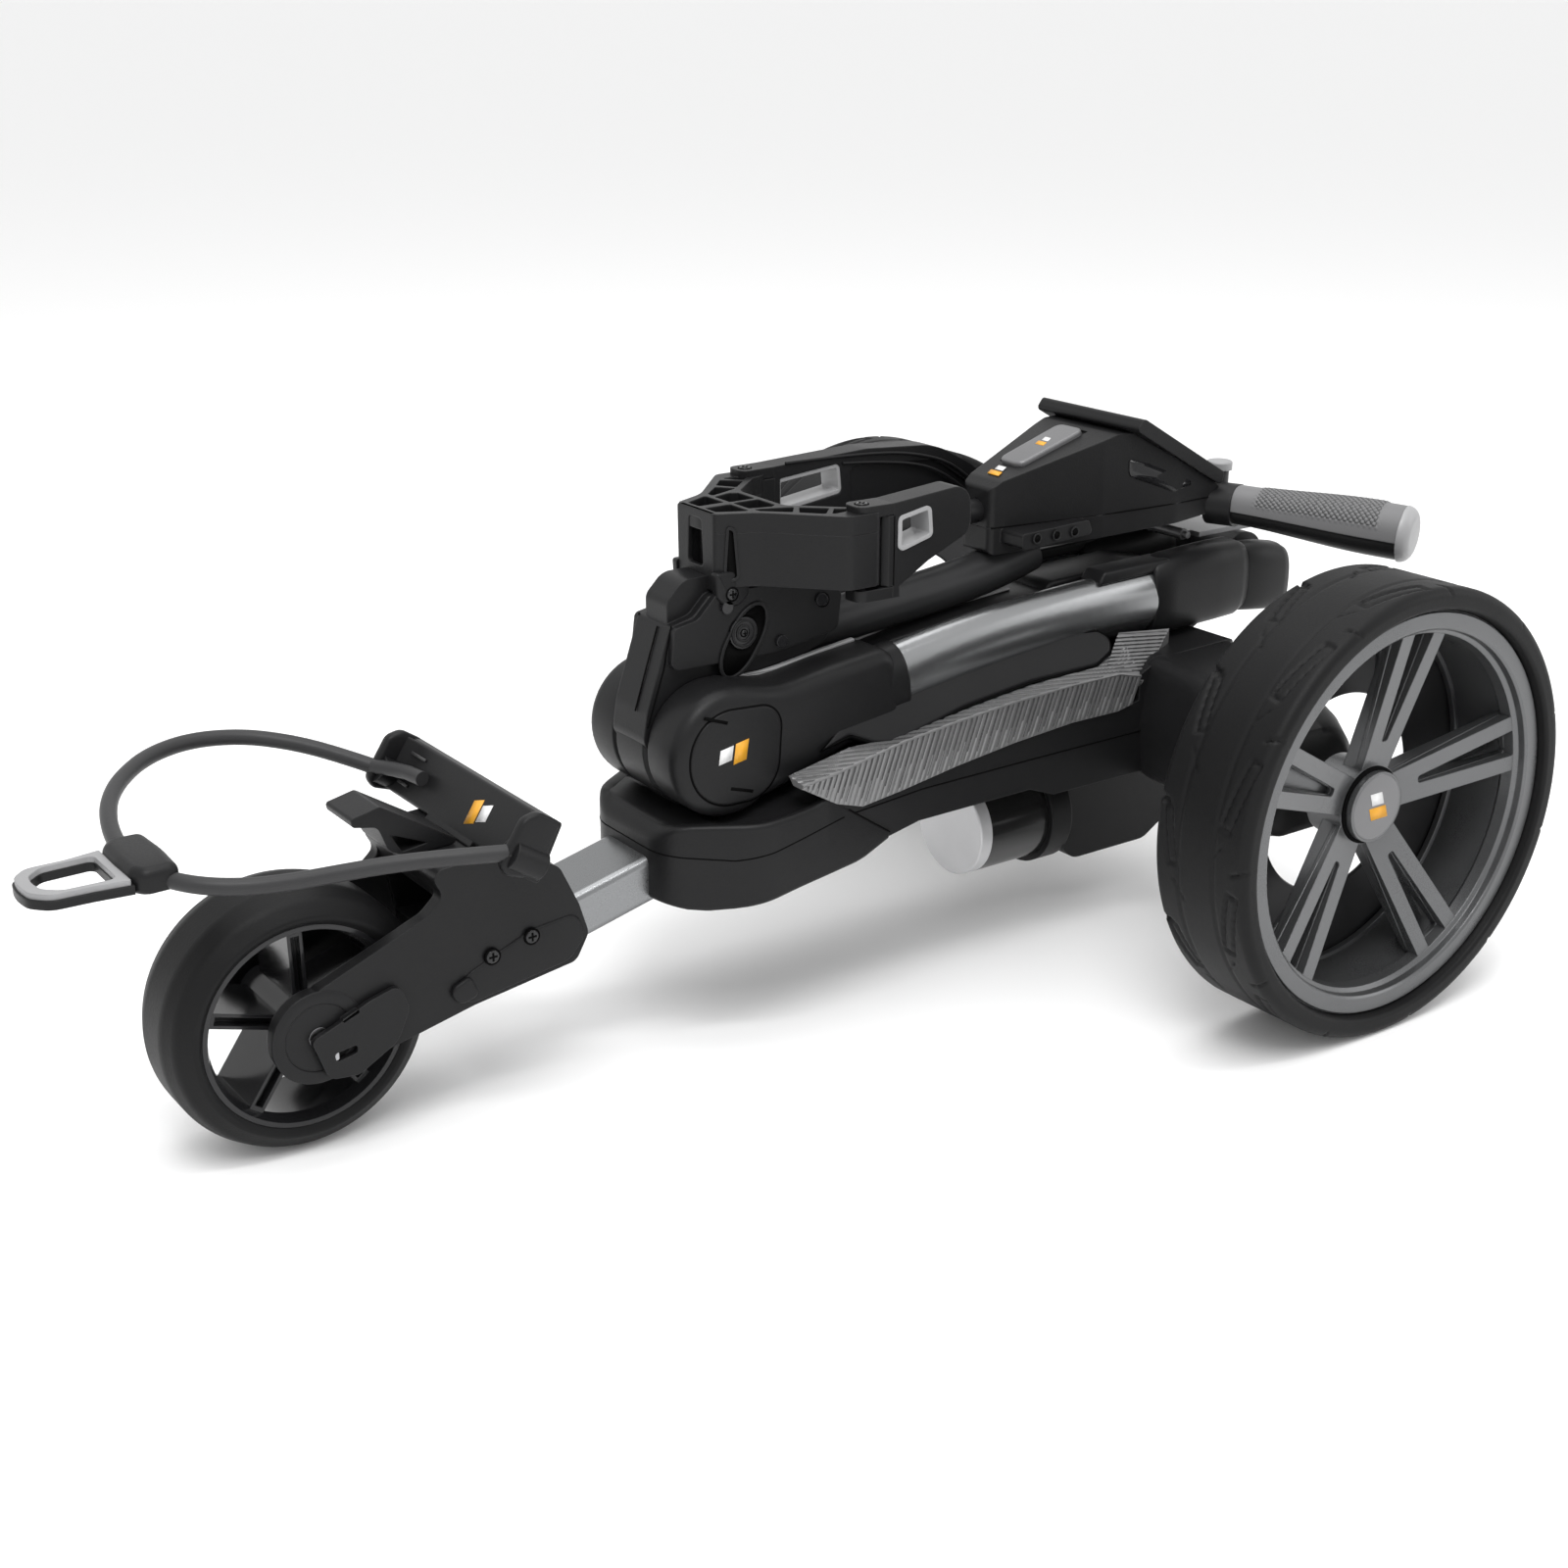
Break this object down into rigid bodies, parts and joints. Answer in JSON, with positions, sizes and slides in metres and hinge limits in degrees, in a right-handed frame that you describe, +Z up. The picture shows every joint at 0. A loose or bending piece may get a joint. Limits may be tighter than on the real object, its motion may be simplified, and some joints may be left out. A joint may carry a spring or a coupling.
{
  "type": "electric golf trolley",
  "caption": "Folded electric golf trolley: battery and motor chassis, front fork, folding arms, bag bracket, console and handle bar.",
  "frame": {"origin": "on the ground under the middle of the trolley, without its bag strap", "axes": "+X forward towards the front wheel, +Y to the trolley's left, +Z up"},
  "size_m": [0.9055, 0.564, 0.3566],
  "materials": {
    "black_plastic": "satin black moulded nylon",
    "black_gloss": "gloss black moulding",
    "ribbed_trim": "grey moulding with fine diagonal ribs",
    "gunmetal_tube": "metallic gunmetal paint over aluminium tube",
    "dark_tube": "dark grey painted aluminium tube",
    "silver_tube": "satin grey anodised aluminium",
    "rim_grey": "metallic grey moulded wheel",
    "tyre_black": "moulded soft tyre with shallow tread",
    "strap_rubber": "matt dark grey rubber",
    "hook_grey": "satin grey plastic",
    "grip_rubber": "grey textured soft grip",
    "motor_black": "gloss black enamel",
    "motor_lid": "cast light grey lid",
    "steel": "turned steel",
    "bronze": "bronze gear",
    "magnet": "sintered magnet",
    "cell_wrap": "shrink-wrapped cells",
    "circuit_board": "coated circuit board",
    "badge_grey": "satin grey plate",
    "screen": "dark display window"
  },
  "bodies": {
    "chassis": {"chassis_lower_shell": "black_plastic", "chassis_upper_shell": "black_plastic", "side_trims": "ribbed_trim", "gearbox_left_shell": "black_plastic", "gearbox_right_shell": "black_plastic", "front_tube": "silver_tube", "battery_case": "black_plastic", "battery_cells": "cell_wrap", "controller_board": "circuit_board", "motor_can": "motor_black", "motor_magnets": "magnet", "motor_end_cap": "motor_lid", "axle_housing": "black_plastic", "axle_bearings": "steel", "fork_body": "black_plastic", "fork_screws": "steel", "front_axle": "steel", "fork_covers": "black_plastic", "bag_foot": "black_plastic", "lower_bag_bracket": "black_plastic", "bungee_strap": "strap_rubber", "strap_slider": "black_plastic", "strap_hook": "hook_grey", "rear_hinge_bracket": "black_plastic"},
    "drive_axle": {"drive_axle": "steel", "worm_wheel": "bronze"},
    "motor_rotor": {"motor_rotor": "steel"},
    "left_wheel": {"left_tyre": "tyre_black", "left_rim": "rim_grey", "left_hub_cap": "rim_grey"},
    "right_wheel": {"right_tyre": "tyre_black", "right_rim": "rim_grey", "right_hub_cap": "rim_grey"},
    "front_wheel": {"front_tyre": "tyre_black", "front_rim": "black_gloss", "front_bearings": "steel"},
    "folding_arms": {"arm_tubes": "gunmetal_tube", "left_arm_boss": "black_plastic", "right_arm_boss": "black_plastic", "boss_caps": "black_plastic", "rear_sleeves": "black_plastic", "hinge_pins": "steel"},
    "release_lever": {"rear_release_lever": "badge_grey"},
    "upper_frame": {"hinge_block": "black_plastic", "stem_tube": "dark_tube", "bag_bracket": "black_plastic", "bracket_fasteners": "steel", "console_upper": "black_plastic", "console_lower": "black_plastic", "badge_plate": "badge_grey", "display_bezel": "black_plastic", "display_screen": "screen", "handle_bar": "dark_tube", "grips": "grip_rubber", "grip_ends": "grip_rubber"},
    "lock_button": {"lock_button": "black_gloss"},
    "left_bag_arm": {"left_bag_arm": "black_plastic"},
    "right_bag_arm": {"right_bag_arm": "black_plastic"},
    "speed_dial": {"speed_dial": "hook_grey"}
  },
  "joints": [
    {"name": "frame_raise", "type": "hinge", "parent": "chassis", "child": "folding_arms", "pos_m": [-0.398, 0, 0.236], "axis": [0, -1, 0], "range_deg": [0, 80]},
    {"name": "upper_unfold", "type": "hinge", "parent": "folding_arms", "child": "upper_frame", "pos_m": [0.069, 0, 0.191], "axis": [0, 1, 0], "range_deg": [0, 115]},
    {"name": "release_lever_lift", "type": "hinge", "parent": "folding_arms", "child": "release_lever", "pos_m": [-0.332, 0, 0.264], "axis": [0, 1, 0], "range_deg": [0, 6], "stiffness_Nm_per_rad": 0.5, "springref_deg": -5.73},
    {"name": "lock_button_press", "type": "slide", "parent": "upper_frame", "child": "lock_button", "axis": [0, -1, 0], "range_m": [0, 0.003], "stiffness_N_per_m": 600, "springref_m": -0.003},
    {"name": "left_bag_arm_swing", "type": "hinge", "parent": "upper_frame", "child": "left_bag_arm", "pos_m": [-0.018, 0.062, 0.305], "axis": [0, 0, -1], "range_deg": [0, 70]},
    {"name": "right_bag_arm_swing", "type": "hinge", "parent": "upper_frame", "child": "right_bag_arm", "pos_m": [-0.018, -0.062, 0.305], "axis": [0, 0, 1], "range_deg": [0, 70]},
    {"name": "speed_dial_turn", "type": "hinge", "parent": "upper_frame", "child": "speed_dial", "pos_m": [-0.354, 0.03, 0.312], "axis": [0, 0, 1], "continuous": true},
    {"name": "left_wheel_spin", "type": "hinge", "parent": "drive_axle", "child": "left_wheel", "pos_m": [-0.276, 0.245, 0.145], "axis": [0, 1, 0], "continuous": true},
    {"name": "right_wheel_spin", "type": "hinge", "parent": "drive_axle", "child": "right_wheel", "pos_m": [-0.276, -0.245, 0.145], "axis": [0, 1, 0], "continuous": true},
    {"name": "front_wheel_spin", "type": "hinge", "parent": "chassis", "child": "front_wheel", "pos_m": [0.342, 0, 0.079], "axis": [0, 1, 0], "continuous": true},
    {"name": "motor_spin", "type": "hinge", "parent": "chassis", "child": "motor_rotor", "pos_m": [-0.18, 0, 0.0794], "axis": [1, 0, 0], "continuous": true},
    {"name": "axle_spin", "type": "hinge", "parent": "chassis", "child": "drive_axle", "pos_m": [-0.276, 0, 0.145], "axis": [0, 1, 0], "continuous": true}
  ],
  "couplings": [
    {"joint": "upper_unfold", "follows": "frame_raise", "ratio": 1.4375},
    {"joint": "axle_spin", "follows": "motor_spin", "ratio": 0.027778}
  ]
}
